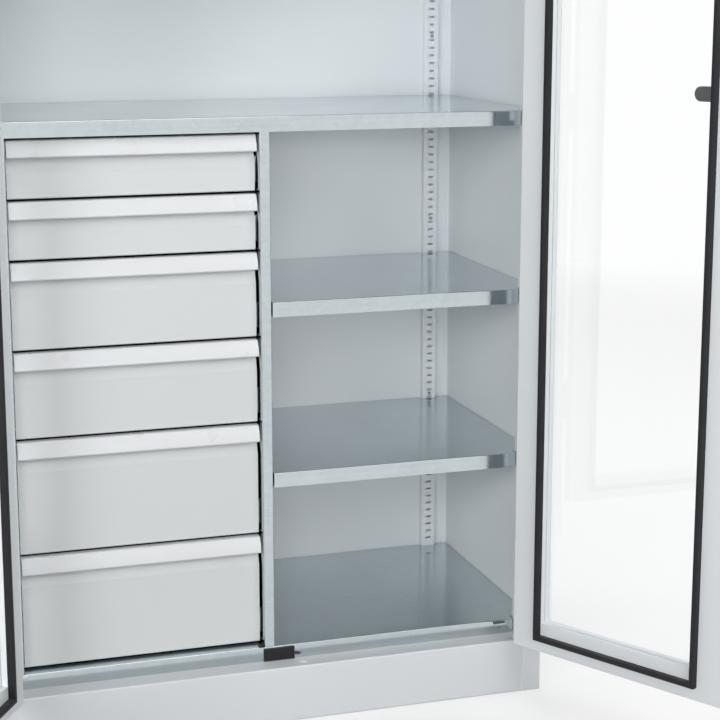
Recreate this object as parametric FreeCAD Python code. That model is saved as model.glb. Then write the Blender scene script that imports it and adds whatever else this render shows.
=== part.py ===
# A heavy-duty storage cabinet with two glazed doors, six drawers and adjustable shelves.
# Frame: millimetres, X to the right, Y to the back, Z up.
# The origin is on the floor, in the middle of the footprint.
import FreeCAD, Part
import math
import os

V = FreeCAD.Vector

# Driving dimensions of the carcass
WIDTH = 1000.0
DEPTH = 500.0
HEIGHT = 1950.0
SHEET = 1.5
BEND = 1.5
FIT_CLEAR = 0.5
UPRIGHT_FACE = 37.0
UPRIGHT_RETURN = 52.0
UPRIGHT_LIP = 14.0
REAR_FLANGE = 12.0
REBATE = 40.0
BASE_HEIGHT = 100.0
BASE_LEDGE = 70.0
BASE_FOOT = 45.0
BASE_SEAM = 0.8
HEADER_HEIGHT = 60.0
HEADER_LIP = 26.0
ROOF_RIM = 20.0
ROOF_CLEAR = 2.0
BEARER_WIDTH = 50.0
BEARER_SPACING = 480.0
BEARER_CLEAR = 2.0
ANCHOR_INSET = 100.0
ANCHOR_SETBACK = 25.0
ANCHOR_RADIUS = 5.5
WALL_HOLE_INSET = 100.0
WALL_HOLE_DROP = 90.0
WALL_HOLE_RADIUS = 4.5
LEDGE_HOLE_RADIUS = 2.5
LEDGE_HOLE_INSET = 16.0
LEDGE_HOLE_SETBACK = 14.0

# Shelves, floor tray and their supports
TRAY_RISE = 26.0
SHELF_FLANGE = 26.0
SHELF_GAP = 1.5
SHELF_END_GAP = 3.0
SHELF_FRONT_RADIUS = 2.0
SLOT_PITCH = 15.0
SLOT_WIDTH = 10.0
SLOT_HEIGHT = 4.0
SLOT_PHASE = 2.5
LOWER_HALF_STEPS = 21
UPPER_HALF_STEPS = 41
MAIN_STEPS = 62
UPPER_SPACING_STEPS = 22
TOP_HEADROOM = 100.0
COLUMN_WIDTH = 30.0
COLUMN_DEPTH = 12.0
COLUMN_INSET = 27.5
FRONT_COLUMN_SETBACK = 60.0
COLUMN_TOP_GAP = 30.0
SCREW_STEPS = 24
SCREW_FIRST_STEP = 21.5
SCREW_RADIUS = 2.5
SCREW_HEAD = 1.0
BRACKET_SHEET = 3.0
BRACKET_REACH = 14.0
BRACKET_TONGUE = 6.0
TONGUE_CLEAR = 0.3
TRAY_SLOT_LENGTH = 24.0
TRAY_SLOT_INSET = 14.0
TRAY_SLOT_WIDTH = 5.5
TRAY_SLOT_DROP = 2.0
STOP_PAD_WIDTH = 55.0
STOP_PAD_HEIGHT = 22.0
STOP_PAD_THICK = 4.0
STOP_PAD_LEFT = -11.0
FOOT_PAD_WIDTH = 9.0
FOOT_PAD_LENGTH = 12.0
FOOT_PAD_CLEAR = 1.2

# Divider and drawers
DIVIDER_THICK = 19.0
DIVIDER_SLOT_INSET = 35.0
PARTITION_THICK = 34.0
PARTITION_GAP = 2.0
DRAWER_PITCHES = (100.0, 100.0, 150.0, 150.0, 200.0, 200.0)
DRAWER_TOP_GAP = 4.5
DRAWER_GAP = 4.0
DRAWER_SIDE_GAP = 3.0
DRAWER_SETBACK = 5.0
GRIP_HEIGHT = 28.5
GRIP_DEPTH = 25.0
GRIP_WALL = 2.0
GRIP_RADIUS = 5.0
GRIP_LEAN = 9.0
GRIP_BELLY = 2.5
GRIP_BELLY_DROP = 13.0
GRIP_SWEEP = 45.0
GRIP_FOOT_RADIUS = 3.0
GRIP_RETURN = 7.0
GRIP_SEAT = 18.0
FRONT_RECESS = 8.0
FRONT_SLOPE = 26.0
FRONT_RIM = 14.0
BOX_LENGTH = 390.0
BOX_LIFT = 8.0
BOX_TOP_DROP = 20.0
RUNNER_WALL = 1.5
RUNNER_HEIGHT = 45.0
RUNNER_THICK = 13.0
RUNNER_CLEAR = 0.3
RUNNER_LIFT = 28.0
RUNNER_END_GAP = 1.0

# Doors, hinges and lock
DOOR_THICK = 26.0
DOOR_GAP = 2.0
DOOR_END_GAP = 3.0
DOOR_MEETING_GAP = 3.0
DOOR_OPEN = 120.0
WINDOW_HINGE_MARGIN = 60.0
WINDOW_FREE_MARGIN = 92.0
WINDOW_END_MARGIN = 53.5
WINDOW_REVEAL = 10.0
PANE_THICK = 4.0
PANE_LAP = 10.0
TRIM_HINGE_MARGIN = 50.0
TRIM_FREE_MARGIN = 80.0
TRIM_END_MARGIN = 23.0
TRIM_WIDTH = 9.0
TRIM_HEIGHT = 12.0
HINGE_STANDOFF = 5.0
HINGE_BARREL_RADIUS = 4.7
HINGE_PIN_RADIUS = 2.4
HINGE_FIT = 0.05
HINGE_KNUCKLE = 40.0
HINGE_LEAF = 2.0
HINGE_LEAF_WIDTH = 24.0
HINGE_WASHER_GAP = 0.4
HINGE_CAP = 3.0
HINGE_COUNT = 3
HINGE_END_INSET = 197.0
STRIP_WIDTH = 46.0
STRIP_LAP = 16.0
STRIP_CLEAR = 0.3
STRIP_END_MARGIN = 30.0
LOCK_X = 55.0
LOCK_Z = 1100.0
LOCK_HOUSING_WIDTH = 44.0
LOCK_HOUSING_HEIGHT = 120.0
LOCK_HOUSING_DEPTH = 10.0
LOCK_CORNER = 8.0
LEVER_LENGTH = 105.0
LEVER_WIDTH = 24.0
LEVER_THICK = 11.0
LEVER_STANDOFF = 12.0
SPINDLE_RADIUS = 6.0
SPINDLE_FIT = 0.05
CAM_RADIUS = 20.0
CAM_THICK = 4.0
CAM_SETBACK = 3.0
CAM_GAP = 0.5
ROD_RADIUS = 5.0
ROD_STANDOFF = 0.5
ROD_CLEAR = 0.5
ROD_HOLE_RADIUS = 7.5
ROD_END_GAP = 1.0
GUIDE_LENGTH = 14.0
GUIDE_WIDTH = 22.0
GUIDE_END_INSET = 77.0
GUIDE_LOCK_INSET = 140.0

# Planes and levels that follow from the sizes above
FRONT = -DEPTH / 2
REAR = DEPTH / 2
SIDE = WIDTH / 2
WALL = SIDE - SHEET
OPENING = SIDE - UPRIGHT_FACE
SHELF_FRONT = FRONT + REBATE
BACK_WALL = REAR - SHEET
RETURN_END = FRONT + UPRIGHT_RETURN
FLOOR = BASE_HEIGHT + TRAY_RISE
MAIN_SHELF = FLOOR + MAIN_STEPS * SLOT_PITCH
SHELF_REAR = BACK_WALL - SHEET - FIT_CLEAR
SHELF_SIDE = WALL - SHELF_GAP
HEADER_BOTTOM = HEIGHT - HEADER_HEIGHT
ANCHOR_X = SIDE - ANCHOR_INSET
ANCHOR_Y = REAR - ANCHOR_SETBACK
WALL_HOLE_X = SIDE - WALL_HOLE_INSET
COLUMN_TOP = HEADER_BOTTOM - COLUMN_TOP_GAP
COLUMN_X = WALL - COLUMN_INSET - COLUMN_WIDTH / 2
COLUMN_FACE = BACK_WALL - COLUMN_DEPTH
FRONT_COLUMN_Y = FRONT + FRONT_COLUMN_SETBACK + COLUMN_WIDTH / 2
FRONT_COLUMN_FACE = WALL - COLUMN_DEPTH
DIVIDER_FACE = DIVIDER_THICK / 2
DIVIDER_TOP = MAIN_SHELF - SHELF_FLANGE
PARTITION_LEFT = -OPENING + PARTITION_GAP
PARTITION_FACE = PARTITION_LEFT + PARTITION_THICK
PARTITION_REAR = COLUMN_FACE - BRACKET_REACH - SHELF_GAP
GRIP_FRONT = SHELF_FRONT + DRAWER_SETBACK
FRONT_DEEP = GRIP_FRONT + GRIP_DEPTH
FRONT_FACE = FRONT_DEEP - FRONT_RECESS
BOX_FRONT = FRONT_DEEP + SHEET
DOOR_INNER = FRONT + DOOR_THICK
DOOR_HINGE_EDGE = OPENING - DOOR_GAP
DOOR_FREE_EDGE = DOOR_MEETING_GAP / 2
DOOR_BOTTOM = BASE_HEIGHT + DOOR_END_GAP
DOOR_TOP = HEADER_BOTTOM - DOOR_END_GAP
HINGE_Y = FRONT - HINGE_STANDOFF
PANE_REAR = DOOR_INNER - WINDOW_REVEAL
PANE_FRONT = PANE_REAR - PANE_THICK
ROD_Y = DOOR_INNER - SHEET - ROD_STANDOFF - ROD_RADIUS


def block(x0, x1, y0, y1, z0, z1):
    """A plain box between two corners."""
    return Part.makeBox(x1 - x0, y1 - y0, z1 - z0, V(x0, y0, z0))


def rod(radius, length, base, axis):
    return Part.makeCylinder(radius, length, V(*base), V(*axis))


def mirrored(shape):
    """The same piece on the other side of the middle plane."""
    return shape.mirror(V(0, 0, 0), V(1, 0, 0))


def group(shapes):
    return Part.makeCompound(shapes)


def bend_edges(points, radii):
    """Straight edges through the points, with an arc of its own radius at each inner point."""
    edges = []
    start = points[0]
    for before, corner, after, radius in zip(points, points[1:], points[2:], radii):
        into = (corner - before).normalize()
        out = (after - corner).normalize()
        half_turn = into.getAngle(out) / 2
        reach = radius * math.tan(half_turn)
        first = corner - into * reach
        last = corner + out * reach
        inward = (out - into).normalize()
        middle = corner + inward * (radius / math.cos(half_turn) - radius)
        edges.append(Part.LineSegment(start, first).toShape())
        edges.append(Part.Arc(first, middle, last).toShape())
        start = last
    edges.append(Part.LineSegment(start, points[-1]).toShape())
    return edges


def folded(path, along, length, start=0.0, thick=SHEET):
    """A sheet folded along a path of (a, b) points, lying on the path's left, swept along one axis."""
    places = {
        "x": lambda a, b: V(start, a, b),
        "y": lambda a, b: V(a, start, b),
        "z": lambda a, b: V(a, b, start),
    }
    sweep = {"x": V(length, 0, 0), "y": V(0, length, 0), "z": V(0, 0, length)}[along]
    near = [V(a, b, 0) for a, b in path]
    runs = [(q - p).normalize() for p, q in zip(near, near[1:])]
    lefts = [V(-r.y, r.x, 0) for r in runs]
    far = [near[0] + lefts[0] * thick]
    near_radii = []
    far_radii = []
    for corner, one, two, run, after in zip(near[1:], lefts, lefts[1:], runs, runs[1:]):
        far.append(corner + (one + two) * (thick / (1 + one.dot(two))))
        turns_left = run.cross(after).z > 0
        near_radii.append(BEND + thick if turns_left else BEND)
        far_radii.append(BEND if turns_left else BEND + thick)
    far.append(near[-1] + lefts[-1] * thick)
    edges = bend_edges(near, near_radii)
    edges.append(Part.LineSegment(near[-1], far[-1]).toShape())
    edges += bend_edges(far[::-1], far_radii[::-1])
    edges.append(Part.LineSegment(far[0], near[0]).toShape())
    flat = Part.Wire(edges)
    moved = [move_edge(edge, places[along]) for edge in flat.OrderedEdges]
    return Part.Face(Part.Wire(moved)).extrude(sweep)


def move_edge(edge, place):
    """A flat edge, straight or round, put into the plane that place gives."""
    first, last = (v.Point for v in (edge.firstVertex(True), edge.lastVertex(True)))
    if edge.Curve.TypeId == "Part::GeomLine":
        return Part.LineSegment(place(first.x, first.y), place(last.x, last.y)).toShape()
    middle = edge.valueAt((edge.FirstParameter + edge.LastParameter) / 2)
    return Part.Arc(*(place(p.x, p.y) for p in (first, middle, last))).toShape()


def pan(outline, top, rim):
    """A flat sheet with a rim folded down all round; its plan is the outline of (x, y) points."""
    corners = [V(x, y, top - rim) for x, y in outline]
    plan = Part.Face(Part.makePolygon(corners + corners[:1]))
    inner = plan.makeOffset2D(-SHEET, join=2)
    return plan.extrude(V(0, 0, rim)).cut(inner.extrude(V(0, 0, rim - SHEET)))


def rounded_front(shape, front, top):
    """Rounds the long top edge at the front of a shelf or tray."""
    def is_front_edge(edge):
        box = edge.BoundBox
        flat = box.YLength < 1e-6 and box.ZLength < 1e-6
        return flat and abs(box.YMin - front) < 1e-6 and abs(box.ZMin - top) < 1e-6
    return shape.makeFillet(SHELF_FRONT_RADIUS, [e for e in shape.Edges if is_front_edge(e)])


def upper_steps():
    """Slot steps of the shelves above the main shelf, as many as the height leaves room for."""
    room = HEADER_BOTTOM - HEADER_LIP - TOP_HEADROOM - MAIN_SHELF
    count = int(room // (UPPER_SPACING_STEPS * SLOT_PITCH))
    return [MAIN_STEPS + UPPER_SPACING_STEPS * (number + 1) for number in range(count)]


def slot_levels(low, high):
    """Heights of the slots of one row between two levels."""
    count = int((high - low - SLOT_PHASE - SLOT_HEIGHT) // SLOT_PITCH)
    return [FLOOR + SLOT_PHASE + SLOT_PITCH * step for step in range(1, count + 1)]


def side_panel():
    """The right-hand wall: rear flange, outer skin, front upright, its return and a stiffening lip."""
    path = [
        (SIDE - REAR_FLANGE, BACK_WALL),
        (SIDE, BACK_WALL),
        (SIDE, FRONT),
        (OPENING, FRONT),
        (OPENING, RETURN_END),
        (OPENING + UPRIGHT_LIP, RETURN_END),
    ]
    return folded(path[::-1], "z", HEIGHT - SHEET)


def back_panel():
    sheet = block(-SIDE, SIDE, BACK_WALL, REAR, 0, HEIGHT - SHEET)
    holes = [
        rod(WALL_HOLE_RADIUS, 3 * SHEET, (x, BACK_WALL - SHEET, HEIGHT - WALL_HOLE_DROP), (0, 1, 0))
        for x in (-WALL_HOLE_X, WALL_HOLE_X)
    ]
    return sheet.cut(group(holes))


def roof_panel():
    """A flat roof sheet on top of the walls, with a rim that drops inside them."""
    lid = block(-SIDE, SIDE, FRONT, REAR, HEIGHT - SHEET, HEIGHT)
    inset = REAR_FLANGE + ROOF_CLEAR
    rim_front = RETURN_END + SHEET + ROOF_CLEAR
    rim = block(-SIDE + inset, SIDE - inset, rim_front, BACK_WALL - inset, HEIGHT - ROOF_RIM, HEIGHT - SHEET)
    hollow = block(
        -SIDE + inset + SHEET,
        SIDE - inset - SHEET,
        rim_front + SHEET,
        BACK_WALL - inset - SHEET,
        HEIGHT - ROOF_RIM,
        HEIGHT - SHEET,
    )
    return lid.fuse(rim.cut(hollow)).removeSplitter()


def front_header():
    """The rail above the doors: face, reveal with the rod hole, and a lip that the door profile meets."""
    path = [
        (SHELF_FRONT, HEADER_BOTTOM - HEADER_LIP),
        (SHELF_FRONT, HEADER_BOTTOM),
        (FRONT, HEADER_BOTTOM),
        (FRONT, HEIGHT - SHEET),
    ]
    rail = folded(path[::-1], "x", 2 * OPENING, -OPENING)
    hole = rod(ROD_HOLE_RADIUS, 4 * SHEET, (LOCK_X, ROD_Y, HEADER_BOTTOM - SHEET), (0, 0, 1))
    return rail.cut(hole)


def base_front():
    """The ledge under the doors, the face below it and a foot flange, with a seam at each upright."""
    path = [
        (FRONT + BASE_LEDGE, BASE_HEIGHT),
        (FRONT, BASE_HEIGHT),
        (FRONT, 0),
        (FRONT + BASE_FOOT, 0),
    ]
    end = OPENING - BASE_SEAM
    rail = folded(path, "x", 2 * end, -end)
    hole_x = OPENING - LEDGE_HOLE_INSET
    hole_y = FRONT + LEDGE_HOLE_SETBACK
    below = BASE_HEIGHT - 2 * SHEET
    holes = [rod(LEDGE_HOLE_RADIUS, 3 * SHEET, (x, hole_y, below), (0, 0, 1)) for x in (-hole_x, hole_x)]
    holes.append(rod(ROD_HOLE_RADIUS, 3 * SHEET, (LOCK_X, ROD_Y, below), (0, 0, 1)))
    return rail.cut(group(holes + anchor_holes(-1)))


def anchor_holes(end):
    """Two floor anchor holes, in the front (-1) or rear (1) foot flange."""
    return [
        rod(ANCHOR_RADIUS, 3 * SHEET, (x, end * ANCHOR_Y, -SHEET), (0, 0, 1))
        for x in (-ANCHOR_X, ANCHOR_X)
    ]


def base_rear():
    path = [
        (BACK_WALL - BASE_FOOT, 0),
        (BACK_WALL, 0),
        (BACK_WALL, BASE_HEIGHT),
        (BACK_WALL - BASE_LEDGE, BASE_HEIGHT),
    ]
    half = SIDE - REAR_FLANGE
    return folded(path, "x", 2 * half, -half).cut(group(anchor_holes(1)))


def base_bearers():
    """Two channels that stand on the floor and carry the middle of the floor tray."""
    low = FRONT + BASE_LEDGE + BEARER_CLEAR
    high = BACK_WALL - BASE_LEDGE - BEARER_CLEAR
    top = FLOOR - SHEET
    bearers = []
    for middle in (-BEARER_SPACING / 2, BEARER_SPACING / 2):
        left = middle - BEARER_WIDTH / 2
        right = middle + BEARER_WIDTH / 2
        path = [(right, 0), (right, top), (left, top), (left, 0)]
        bearers.append(folded(path, "y", high - low, low))
    return group(bearers)


def shelf_outline(left_wall):
    """Plan of a shelf that runs to the right wall, and to the left wall or only to the divider."""
    end = OPENING - SHELF_END_GAP
    behind = RETURN_END + SHELF_GAP
    notch_front = FRONT_COLUMN_Y - COLUMN_WIDTH / 2 - SHELF_GAP
    notch_rear = FRONT_COLUMN_Y + COLUMN_WIDTH / 2 + SHELF_GAP
    notch_x = FRONT_COLUMN_FACE - SHELF_GAP
    inner = COLUMN_X - COLUMN_WIDTH / 2 - SHELF_GAP
    outer = COLUMN_X + COLUMN_WIDTH / 2 + SHELF_GAP
    rear_notch = COLUMN_FACE - SHELF_GAP
    right = [
        (end, SHELF_FRONT),
        (end, behind),
        (notch_x, behind),
        (notch_x, notch_rear),
        (SHELF_SIDE, notch_rear),
        (SHELF_SIDE, SHELF_REAR),
        (outer, SHELF_REAR),
        (outer, rear_notch),
        (inner, rear_notch),
        (inner, SHELF_REAR),
    ]
    if behind < notch_front:
        right[2:3] = [(SHELF_SIDE, behind), (SHELF_SIDE, notch_front), (notch_x, notch_front)]
    if left_wall:
        return right + [(-x, y) for x, y in right[::-1]]
    left = DIVIDER_FACE + SHELF_GAP
    return right + [(left, SHELF_REAR), (left, SHELF_FRONT)]


def shelf(steps, left_wall):
    top = FLOOR + steps * SLOT_PITCH
    return rounded_front(pan(shelf_outline(left_wall), top, SHELF_FLANGE), SHELF_FRONT, top)


def floor_tray():
    """The galvanised floor: a deep pan on the base, with a slot near each end of its front flange."""
    tray = rounded_front(pan(shelf_outline(True), FLOOR, TRAY_RISE), SHELF_FRONT, FLOOR)
    right = OPENING - SHELF_END_GAP - TRAY_SLOT_INSET
    high = FLOOR - TRAY_SLOT_DROP
    cutter = block(
        right - TRAY_SLOT_LENGTH,
        right,
        SHELF_FRONT - SHEET,
        SHELF_FRONT + 2 * SHEET,
        high - TRAY_SLOT_WIDTH,
        high,
    )
    return tray.cut(group([cutter, mirrored(cutter)]))


def upright_wall(left, right, rear):
    """A box-shaped partition, folded at the front and open at the back."""
    path = [(left, rear), (left, SHELF_FRONT), (right, SHELF_FRONT), (right, rear)]
    return folded(path, "z", DIVIDER_TOP - FLOOR, FLOOR)


def divider_slot_rows():
    return (SHELF_FRONT + DIVIDER_SLOT_INSET, SHELF_REAR - DIVIDER_SLOT_INSET)


def centre_divider():
    slots = [
        block(
            DIVIDER_FACE - 2 * SHEET,
            DIVIDER_FACE + SHEET,
            y - SLOT_WIDTH / 2,
            y + SLOT_WIDTH / 2,
            z - SLOT_HEIGHT / 2,
            z + SLOT_HEIGHT / 2,
        )
        for y in divider_slot_rows()
        for z in slot_levels(FLOOR, DIVIDER_TOP)
    ]
    return upright_wall(-DIVIDER_FACE, DIVIDER_FACE, SHELF_REAR).cut(group(slots))


def screw_levels():
    first = FLOOR + SLOT_PHASE + SCREW_FIRST_STEP * SLOT_PITCH
    count = int((COLUMN_TOP - first) // (SCREW_STEPS * SLOT_PITCH)) + 1
    return [first + SCREW_STEPS * SLOT_PITCH * step for step in range(count)]


def column(web_left, web_face, depth):
    """A slotted channel that opens to the back, with its web in front."""
    right = web_left + COLUMN_WIDTH
    middle = web_left + COLUMN_WIDTH / 2
    path = [(web_left, web_face + depth), (web_left, web_face), (right, web_face), (right, web_face + depth)]
    channel = folded(path, "z", COLUMN_TOP - FLOOR, FLOOR)
    slots = [
        block(
            middle - SLOT_WIDTH / 2,
            middle + SLOT_WIDTH / 2,
            web_face - SHEET,
            web_face + 2 * SHEET,
            z - SLOT_HEIGHT / 2,
            z + SLOT_HEIGHT / 2,
        )
        for z in slot_levels(FLOOR, COLUMN_TOP)
    ]
    holes = [rod(SCREW_RADIUS, 3 * SHEET, (middle, web_face - SHEET, z), (0, 1, 0)) for z in screw_levels()]
    return channel.cut(group(slots + holes))


def onto_right_wall(shape):
    """Turns a piece made for the back wall, centred on X, so that it stands on the right wall."""
    turned = shape.copy()
    turned.rotate(V(0, 0, 0), V(0, 0, 1), -90)
    turned.translate(V(0, FRONT_COLUMN_Y, 0))
    return turned


def slotted_columns():
    rear = column(COLUMN_X - COLUMN_WIDTH / 2, COLUMN_FACE, COLUMN_DEPTH)
    front = onto_right_wall(column(-COLUMN_WIDTH / 2, FRONT_COLUMN_FACE, COLUMN_DEPTH))
    return group([rear, front, mirrored(rear), mirrored(front)])


def column_screws():
    """Domed screws through the column webs."""
    def screw(x, web_face, z):
        shank = rod(SCREW_RADIUS, SHEET, (x, web_face, z), (0, 1, 0))
        head = rod(SCREW_RADIUS + SCREW_HEAD, SCREW_HEAD, (x, web_face - SCREW_HEAD, z), (0, 1, 0))
        return shank.fuse(head).removeSplitter()
    rear = [screw(COLUMN_X, COLUMN_FACE, z) for z in screw_levels()]
    front = [onto_right_wall(screw(0, FRONT_COLUMN_FACE, z)) for z in screw_levels()]
    right = rear + front
    return group(right + [mirrored(one) for one in right])


def bracket_plate(x0, x1, y0, y1, top):
    return block(x0, x1, y0, y1, top - BRACKET_SHEET, top)


def wall_brackets(shelf_top):
    """The two brackets on the right wall's columns under one shelf."""
    top = shelf_top - SHELF_FLANGE
    tongue = SLOT_WIDTH / 2 - TONGUE_CLEAR
    rear = bracket_plate(
        COLUMN_X - COLUMN_WIDTH / 2, SHELF_SIDE, COLUMN_FACE - BRACKET_REACH, COLUMN_FACE, top
    )
    rear_tongue = bracket_plate(
        COLUMN_X - tongue, COLUMN_X + tongue, COLUMN_FACE, COLUMN_FACE + BRACKET_TONGUE, top
    )
    low = FRONT_COLUMN_Y - COLUMN_WIDTH / 2
    high = FRONT_COLUMN_Y + COLUMN_WIDTH / 2
    front = bracket_plate(FRONT_COLUMN_FACE - BRACKET_REACH, FRONT_COLUMN_FACE, low, high, top)
    wing = bracket_plate(FRONT_COLUMN_FACE - BRACKET_REACH, SHELF_SIDE, high, high + BRACKET_REACH, top)
    front_tongue = bracket_plate(
        FRONT_COLUMN_FACE,
        FRONT_COLUMN_FACE + BRACKET_TONGUE,
        FRONT_COLUMN_Y - tongue,
        FRONT_COLUMN_Y + tongue,
        top,
    )
    return [
        rear.fuse(rear_tongue).removeSplitter(),
        front.multiFuse([wing, front_tongue]).removeSplitter(),
    ]


def divider_brackets(shelf_top):
    """The two brackets on the divider under one half shelf."""
    top = shelf_top - SHELF_FLANGE
    tongue = SLOT_WIDTH / 2 - TONGUE_CLEAR
    brackets = []
    for y in divider_slot_rows():
        plate = bracket_plate(DIVIDER_FACE, DIVIDER_FACE + BRACKET_REACH, y - SLOT_WIDTH, y + SLOT_WIDTH, top)
        hook = bracket_plate(DIVIDER_FACE - BRACKET_TONGUE, DIVIDER_FACE, y - tongue, y + tongue, top)
        brackets.append(plate.fuse(hook).removeSplitter())
    return brackets


def shelf_brackets():
    brackets = []
    for steps in (MAIN_STEPS, *upper_steps()):
        right = wall_brackets(FLOOR + steps * SLOT_PITCH)
        brackets += right + [mirrored(one) for one in right]
    for steps in (LOWER_HALF_STEPS, UPPER_HALF_STEPS):
        brackets += wall_brackets(FLOOR + steps * SLOT_PITCH)
        brackets += divider_brackets(FLOOR + steps * SLOT_PITCH)
    return group(brackets)


def rubber_pads():
    """The pad that the doors close against, on the floor tray's front, and a foot pad under the drawers."""
    pad = block(
        STOP_PAD_LEFT,
        STOP_PAD_LEFT + STOP_PAD_WIDTH,
        SHELF_FRONT - STOP_PAD_THICK,
        SHELF_FRONT,
        BASE_HEIGHT,
        BASE_HEIGHT + STOP_PAD_HEIGHT,
    )
    front_edges = [e for e in pad.Edges if e.BoundBox.YMax < SHELF_FRONT - STOP_PAD_THICK / 2]
    lowest_front = drawer_levels()[-1][0]
    foot = block(
        -DIVIDER_FACE - FOOT_PAD_WIDTH,
        -DIVIDER_FACE,
        SHELF_FRONT,
        SHELF_FRONT + FOOT_PAD_LENGTH,
        FLOOR,
        lowest_front - FOOT_PAD_CLEAR,
    )
    return group([pad.makeFillet(STOP_PAD_THICK / 4, front_edges), foot])


def drawer_levels():
    """(bottom, top) of each drawer front with its grip, from the top drawer down."""
    top = DIVIDER_TOP - DRAWER_TOP_GAP
    levels = []
    for pitch in DRAWER_PITCHES:
        levels.append((top - pitch + DRAWER_GAP, top))
        top -= pitch
    return levels


def drawer_front(bottom, top):
    """A folded front: bottom rim, face, finger slope and a seat strip for the grip."""
    left = PARTITION_FACE + DRAWER_SIDE_GAP
    right = -DIVIDER_FACE - DRAWER_SIDE_GAP
    slope_top = top - GRIP_HEIGHT
    path = [
        (FRONT_FACE + FRONT_RIM, bottom),
        (FRONT_FACE, bottom),
        (FRONT_FACE, slope_top - FRONT_SLOPE),
        (FRONT_DEEP, slope_top),
        (FRONT_DEEP, top - GRIP_WALL),
    ]
    return folded(path[::-1], "x", right - left, left)


def grip_lip(left, back, top, bottom):
    """Corners of the grip's leaning lip, from top edge to foot, on a face set back behind the front one."""
    return [
        V(left, GRIP_FRONT + GRIP_LEAN + back, top),
        V(left, GRIP_FRONT + GRIP_BELLY + back, top - GRIP_BELLY_DROP),
        V(left, GRIP_FRONT + back, bottom),
    ]


def drawer_grip(top):
    """A drawn grip rail: a seat against the front, a top web and a lip that leans out and swells in front."""
    left = PARTITION_FACE + DRAWER_SIDE_GAP
    right = -DIVIDER_FACE - DRAWER_SIDE_GAP
    bottom = top - GRIP_HEIGHT
    seat_front = FRONT_DEEP - GRIP_WALL
    path = [
        V(left, FRONT_DEEP, top - GRIP_SEAT),
        V(left, FRONT_DEEP, top),
        *grip_lip(left, 0, top, bottom),
        V(left, GRIP_FRONT + GRIP_RETURN, bottom),
        V(left, GRIP_FRONT + GRIP_RETURN, bottom + GRIP_WALL),
        *grip_lip(left, GRIP_WALL, top - GRIP_WALL, bottom + GRIP_WALL)[::-1],
        V(left, seat_front, top - GRIP_WALL),
        V(left, seat_front, top - GRIP_SEAT),
    ]
    edge = GRIP_WALL / 2
    outer = [GRIP_RADIUS, GRIP_SWEEP, GRIP_FOOT_RADIUS]
    inner = [GRIP_FOOT_RADIUS - GRIP_WALL, GRIP_SWEEP - GRIP_WALL, GRIP_RADIUS - GRIP_WALL]
    edges = bend_edges(path, [edge, *outer, edge / 2, edge / 2, *inner, edge])
    edges.append(Part.LineSegment(path[-1], path[0]).toShape())
    return Part.Face(Part.Wire(edges)).extrude(V(right - left, 0, 0))


def box_sides():
    """Left and right outer faces of a drawer box."""
    return PARTITION_FACE + RUNNER_THICK, -DIVIDER_FACE - RUNNER_THICK


def box_sheets(low, high):
    """The floor of a drawer box and the four walls that are spot-welded round it."""
    left, right = box_sides()
    rear = BOX_FRONT + BOX_LENGTH
    walls = [block(x, x + SHEET, BOX_FRONT, rear, low, high) for x in (left, right - SHEET)]
    left, right = left + SHEET, right - SHEET
    ends = [block(left, right, y, y + SHEET, low, high) for y in (BOX_FRONT, rear - SHEET)]
    floor = block(left, right, BOX_FRONT + SHEET, rear - SHEET, low, low + SHEET)
    return [floor, *walls, *ends]


def drawer_box(bottom, top):
    """A box of welded sheets, with the runner members on its sides."""
    sheets = box_sheets(bottom + BOX_LIFT, top - BOX_TOP_DROP)
    lips = RUNNER_THICK - 2 * (RUNNER_WALL + RUNNER_CLEAR) - RUNNER_WALL
    rails = runner_pair(RUNNER_THICK, lips, 2, runner_level(bottom))
    return group(sheets + rails)


def runner_level(bottom):
    return bottom + BOX_LIFT + RUNNER_LIFT


def runner_pair(web, lips, nest, level):
    """One channel member on each side of a drawer.

    web is where its web starts, measured from the wall that carries the runner, and lips is how far its lips
    reach from there: towards the drawer, or back to the wall for the drawer's own member. nest counts the
    members outside it.
    """
    low = BOX_FRONT + RUNNER_END_GAP
    length = BOX_LENGTH - 2 * RUNNER_END_GAP
    half = RUNNER_HEIGHT / 2 - nest * (RUNNER_WALL + RUNNER_CLEAR)
    reach = web - lips if nest == 2 else web + lips
    path = [
        (PARTITION_FACE + reach, level + half),
        (PARTITION_FACE + web, level + half),
        (PARTITION_FACE + web, level - half),
        (PARTITION_FACE + reach, level - half),
    ]
    if nest == 2:
        path = path[::-1]
    left = folded(path, "y", length, low, RUNNER_WALL)
    right = left.mirror(V((PARTITION_FACE - DIVIDER_FACE) / 2, 0, 0), V(1, 0, 0))
    return [left, right]


def middle_runners(bottom):
    step = RUNNER_WALL + RUNNER_CLEAR
    return group(runner_pair(step, RUNNER_THICK - 2 * step - RUNNER_CLEAR, 1, runner_level(bottom)))


def fixed_runners():
    members = []
    for bottom, _ in drawer_levels():
        members += runner_pair(0.0, RUNNER_THICK - RUNNER_WALL, 0, runner_level(bottom))
    return group(members)


def door_blank(hinge, free, end, y0, y1):
    """A slab inside the right door's outline, set in by its margins."""
    return block(
        DOOR_FREE_EDGE + free, DOOR_HINGE_EDGE - hinge, y0, y1, DOOR_BOTTOM + end, DOOR_TOP - end
    )


def window_blank(inset, y0, y1):
    """A slab with the window's outline, made smaller all round by the inset."""
    margins = (WINDOW_HINGE_MARGIN, WINDOW_FREE_MARGIN, WINDOW_END_MARGIN)
    return door_blank(*(m + inset for m in margins), y0, y1)


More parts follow.
